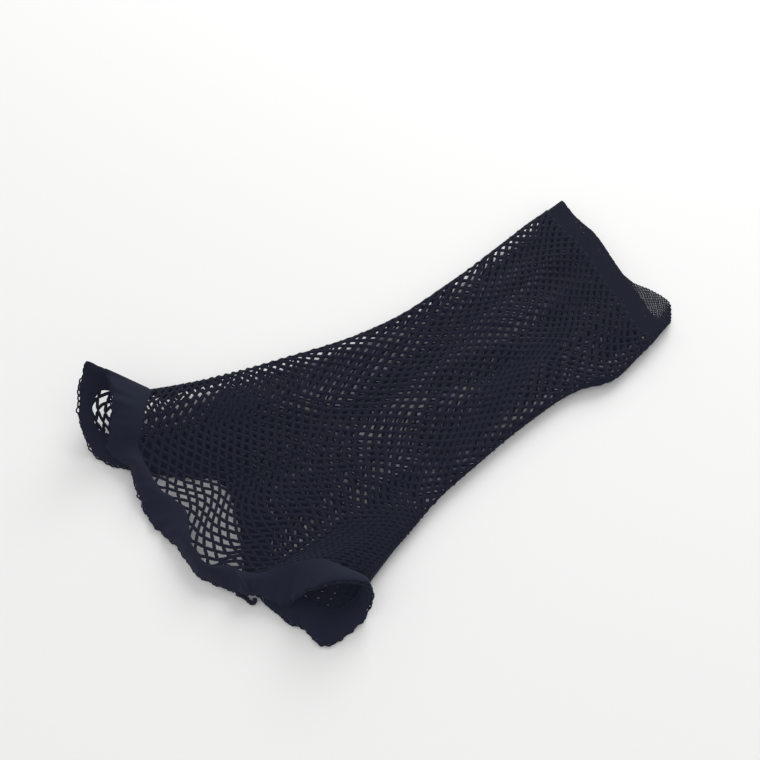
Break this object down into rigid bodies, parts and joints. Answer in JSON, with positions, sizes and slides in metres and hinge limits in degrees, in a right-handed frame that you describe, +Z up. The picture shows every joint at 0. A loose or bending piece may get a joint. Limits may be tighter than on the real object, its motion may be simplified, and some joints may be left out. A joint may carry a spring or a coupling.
{
  "type": "wig cap",
  "caption": "Open-ended knitted net cap laid flat in two layers, with a wide ruffled band at its flared mouth and a narrow band at its small end.",
  "frame": {"origin": "on the table, under the middle of the whole cap as it lies", "axes": "+X along the tube from the flared mouth to the small end, +Y across it, +Z up from the table"},
  "size_m": [0.252, 0.1456, 0.0246],
  "materials": {
    "net_knit": "fine knitted net, matt black",
    "mouth_knit": "dense knitted band, matt black with fine ribs",
    "end_knit": "fine close net, matt black",
    "tail_yarn": "textured yarn, matt black"
  },
  "bodies": {
    "root": {"net_upper": "net_knit", "net_lower": "net_knit", "mouth_band": "mouth_knit", "end_band": "end_knit", "thread_tail": "tail_yarn"}
  },
  "joints": []
}
